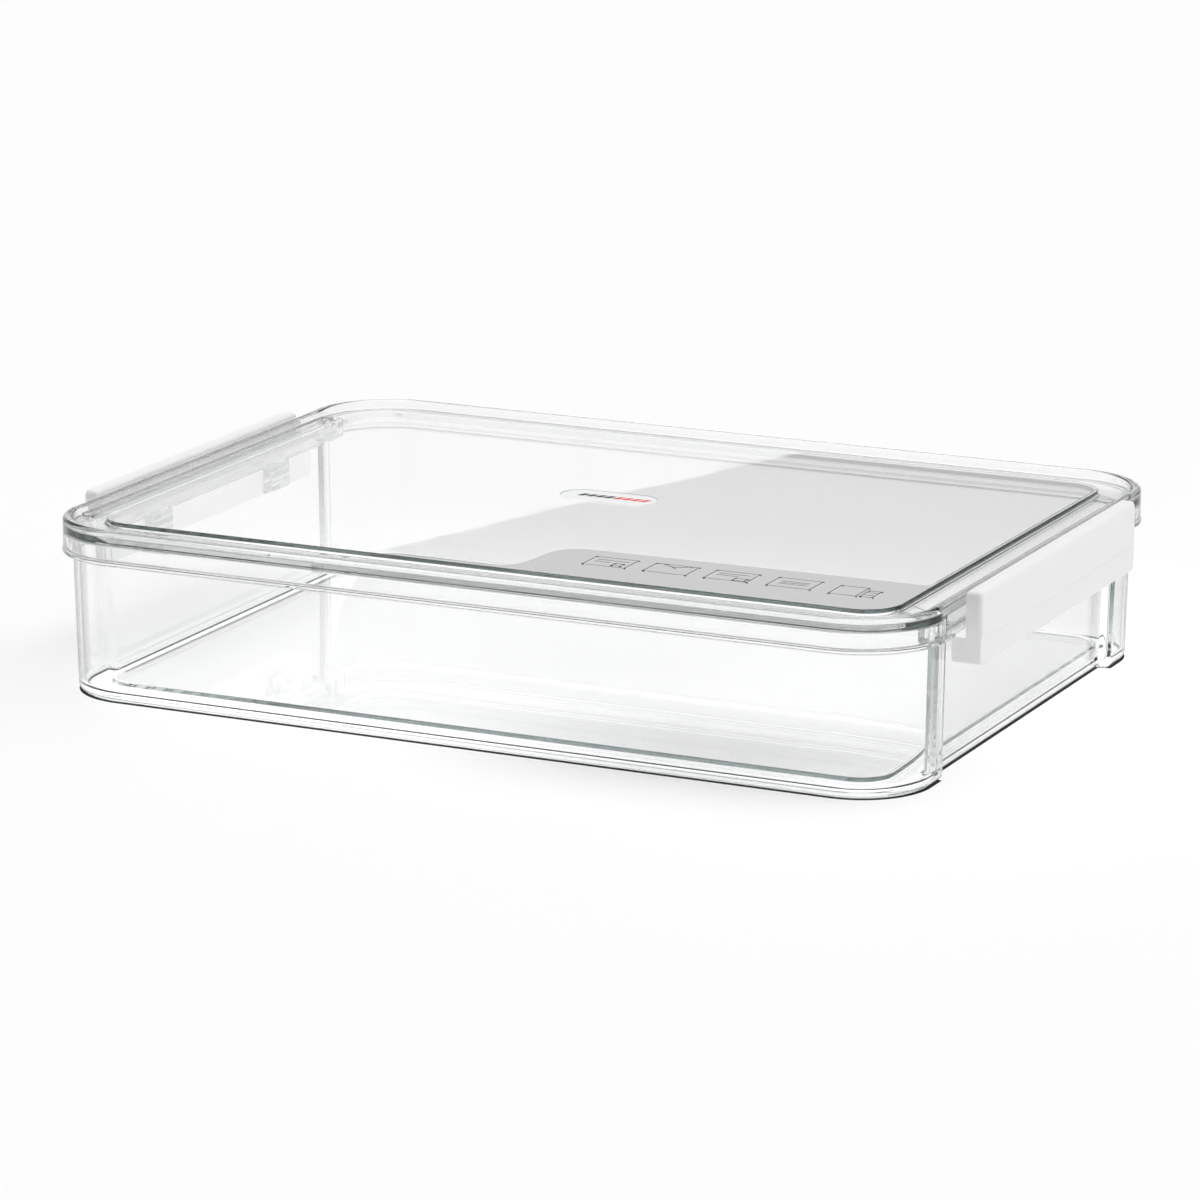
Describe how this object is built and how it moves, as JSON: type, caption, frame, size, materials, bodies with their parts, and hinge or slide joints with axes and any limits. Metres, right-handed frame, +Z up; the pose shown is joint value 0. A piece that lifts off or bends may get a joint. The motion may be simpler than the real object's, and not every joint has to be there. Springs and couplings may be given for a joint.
{
  "type": "lidded storage bin",
  "caption": "Shallow clear rectangular storage bin with a lift-off lid and a hinged white snap latch on each short side.",
  "frame": {"origin": "centre of the bin's footprint, on the surface that it stands on", "axes": "+X along the long side, towards latch_right; +Y along the short side; +Z up"},
  "size_m": [0.342, 0.2386, 0.064],
  "materials": {
    "clear_plastic": "clear, polished",
    "white_plastic": "fine satin",
    "label_film": "satin film"
  },
  "bodies": {
    "tub": {"tub": "clear_plastic"},
    "lid": {"lid": "clear_plastic", "label": "label_film"},
    "latch_left": {"latch_left": "white_plastic"},
    "latch_right": {"latch_right": "white_plastic"}
  },
  "joints": [
    {"name": "lid_lift", "type": "slide", "parent": "tub", "child": "lid", "axis": [0, 0, 1], "range_m": [0, 0.1]},
    {"name": "latch_left_swing", "type": "hinge", "parent": "tub", "child": "latch_left", "pos_m": [-0.1635, 0, 0.0428], "axis": [0, -1, 0], "range_deg": [0, 100]},
    {"name": "latch_right_swing", "type": "hinge", "parent": "tub", "child": "latch_right", "pos_m": [0.1635, 0, 0.0428], "axis": [0, 1, 0], "range_deg": [0, 100]}
  ]
}
